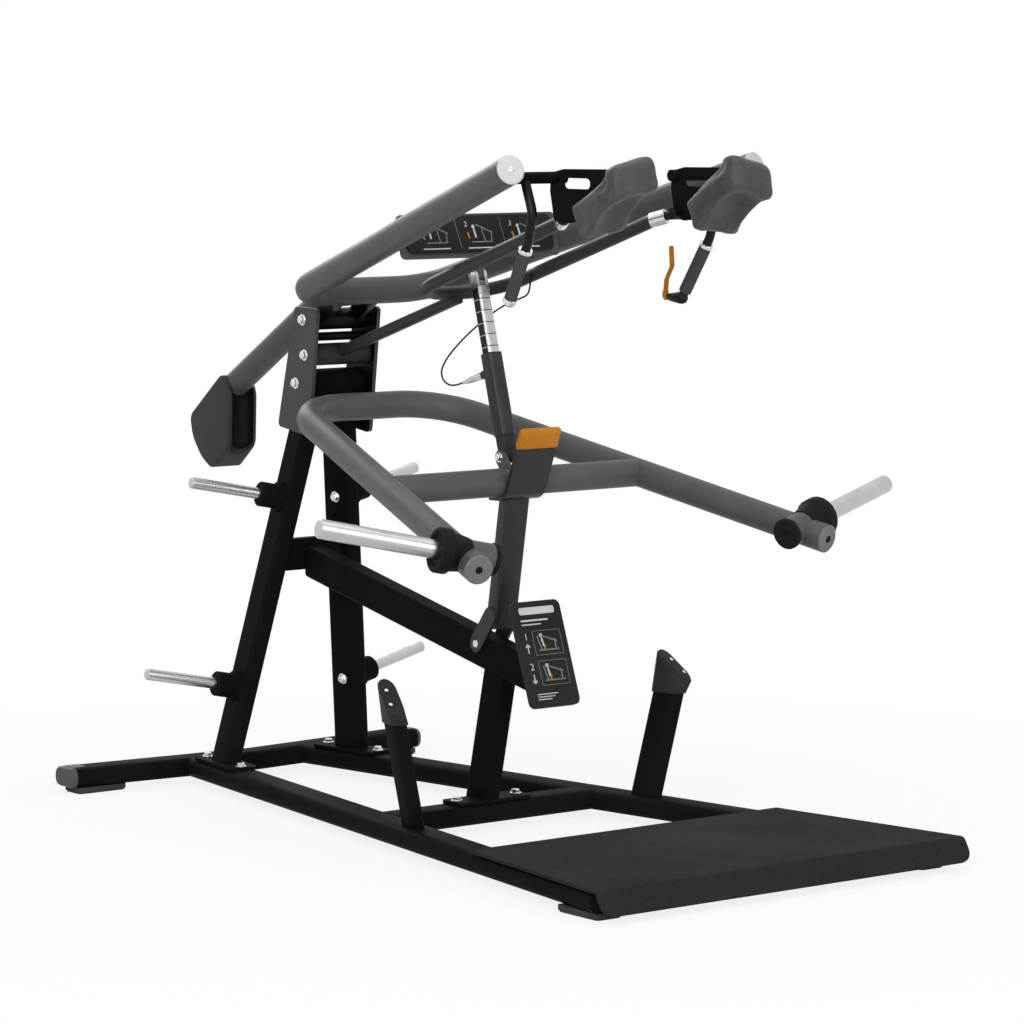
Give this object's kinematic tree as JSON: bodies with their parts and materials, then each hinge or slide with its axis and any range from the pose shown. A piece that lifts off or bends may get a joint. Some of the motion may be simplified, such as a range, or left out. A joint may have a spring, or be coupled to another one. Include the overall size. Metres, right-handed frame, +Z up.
{
  "type": "plate-loaded lever squat machine",
  "caption": "Plate-loaded lever squat machine: floor frame with deck, tower, pivoting load arm with plate horns, height-adjustable shoulder pad arm and a swinging rack hook.",
  "frame": {"origin": "on the floor, at the middle of the machine's footprint box", "axes": "+Z up, +Y from the deck towards the tower, +X to the right of a user who faces the tower"},
  "size_m": [1.899, 2.6124, 1.8256],
  "materials": {
    "black_paint": "satin",
    "grey_paint": "satin",
    "plate_paint": "satin",
    "rubber": "matte",
    "deck_coating": "matte",
    "pad_vinyl": "matte",
    "bright_steel": "satin",
    "pale_plastic": "matte",
    "grey_plastic": "matte",
    "orange_plastic": "matte",
    "placard_print": "satin"
  },
  "bodies": {
    "base": {"rail_left": "black_paint", "rail_right": "black_paint", "rear_cross_tube": "black_paint", "mid_cross_tube": "black_paint", "rear_end_cap_left": "grey_plastic", "rear_end_cap_right": "grey_plastic", "rear_foot_left": "rubber", "rear_foot_right": "rubber", "front_foot_left": "rubber", "front_foot_right": "rubber", "deck": "deck_coating", "tower_leg_left": "black_paint", "tower_leg_right": "black_paint", "tower_crossbar": "black_paint", "pivot_head": "black_paint", "storage_horn_lower_left": "bright_steel", "storage_horn_lower_right": "bright_steel", "storage_horn_upper_left": "bright_steel", "storage_horn_upper_right": "bright_steel", "diagonal_brace": "black_paint", "front_post": "black_paint", "brace_placard": "placard_print", "bump_post_left": "black_paint", "bump_post_right": "black_paint", "bump_cap_left": "rubber", "bump_cap_right": "rubber"},
    "lever": {"side_plate_left": "plate_paint", "side_plate_right": "plate_paint", "load_arm": "grey_paint", "load_arm_cap_left": "grey_plastic", "load_arm_cap_right": "grey_plastic", "load_crossbar": "grey_paint", "horn_collar_left": "black_paint", "horn_collar_right": "black_paint", "load_horn_left": "bright_steel", "load_horn_right": "bright_steel"},
    "upper_arm": {"upper_arm": "grey_paint", "upper_arm_cap_left": "pale_plastic", "upper_arm_cap_right": "pale_plastic", "counterweight_tube": "grey_paint", "counterweight": "black_paint", "cross_plate": "grey_paint", "arm_placard": "placard_print"},
    "link": {"link_fork": "grey_paint", "rod_end_left": "bright_steel", "rod_end_right": "bright_steel"},
    "carriage_left": {"carriage_bracket_left": "black_paint", "shoulder_pad_left": "pad_vinyl", "handle_left": "black_paint", "grip_left": "rubber"},
    "carriage_right": {"carriage_bracket_right": "black_paint", "shoulder_pad_right": "pad_vinyl", "handle_right": "black_paint", "grip_right": "rubber"},
    "release": {"release_lever": "orange_plastic"},
    "sleeve": {"strut_sleeve": "black_paint", "release_cable": "rubber"},
    "rod": {"strut_rod": "bright_steel"},
    "hook": {"rack_hook": "black_paint", "hook_cap": "orange_plastic"}
  },
  "joints": [
    {"name": "lever_pivot", "type": "hinge", "parent": "base", "child": "lever", "pos_m": [0, 0.68377, 1.168], "axis": [-1, 0, 0], "range_deg": [0, 10]},
    {"name": "upper_arm_pivot", "type": "hinge", "parent": "lever", "child": "upper_arm", "pos_m": [0, 0.64877, 1.347], "axis": [-1, 0, 0], "range_deg": [-6, 6]},
    {"name": "link_pivot", "type": "hinge", "parent": "lever", "child": "link", "pos_m": [0, 0.63977, 1.249], "axis": [-1, 0, 0], "range_deg": [-6.5, 6.5]},
    {"name": "carriage_left_pivot", "type": "hinge", "parent": "upper_arm", "child": "carriage_left", "pos_m": [0, -0.60623, 1.766], "axis": [-1, 0, 0], "range_deg": [-6.5, 6.5]},
    {"name": "carriage_right_pivot", "type": "hinge", "parent": "upper_arm", "child": "carriage_right", "pos_m": [0, -0.60623, 1.766], "axis": [-1, 0, 0], "range_deg": [-6.5, 6.5]},
    {"name": "release_lever_pivot", "type": "hinge", "parent": "carriage_right", "child": "release", "pos_m": [0.288, -0.45723, 1.443], "axis": [1, 0, 0], "range_deg": [0, 12], "stiffness_Nm_per_rad": 2, "springref_deg": -5.73},
    {"name": "strut_sleeve_pivot", "type": "hinge", "parent": "lever", "child": "sleeve", "pos_m": [0, -0.14723, 1.013], "axis": [-1, 0, 0], "range_deg": [-1.5, 1.5]},
    {"name": "strut_slide", "type": "slide", "parent": "sleeve", "child": "rod", "axis": [0, 0.2684, 0.9633], "range_m": [-0.08, 0.08]},
    {"name": "rack_hook_pivot", "type": "hinge", "parent": "base", "child": "hook", "pos_m": [0, -0.05623, 0.505], "axis": [1, 0, 0], "range_deg": [0, 18]}
  ],
  "couplings": [
    {"joint": "link_pivot", "follows": "upper_arm_pivot", "ratio": 1},
    {"joint": "carriage_left_pivot", "follows": "upper_arm_pivot", "ratio": -1},
    {"joint": "carriage_right_pivot", "follows": "upper_arm_pivot", "ratio": -1},
    {"joint": "strut_sleeve_pivot", "follows": "upper_arm_pivot", "ratio": -0.0797},
    {"joint": "strut_slide", "follows": "upper_arm_pivot", "m_per_rad": 0.6762}
  ]
}
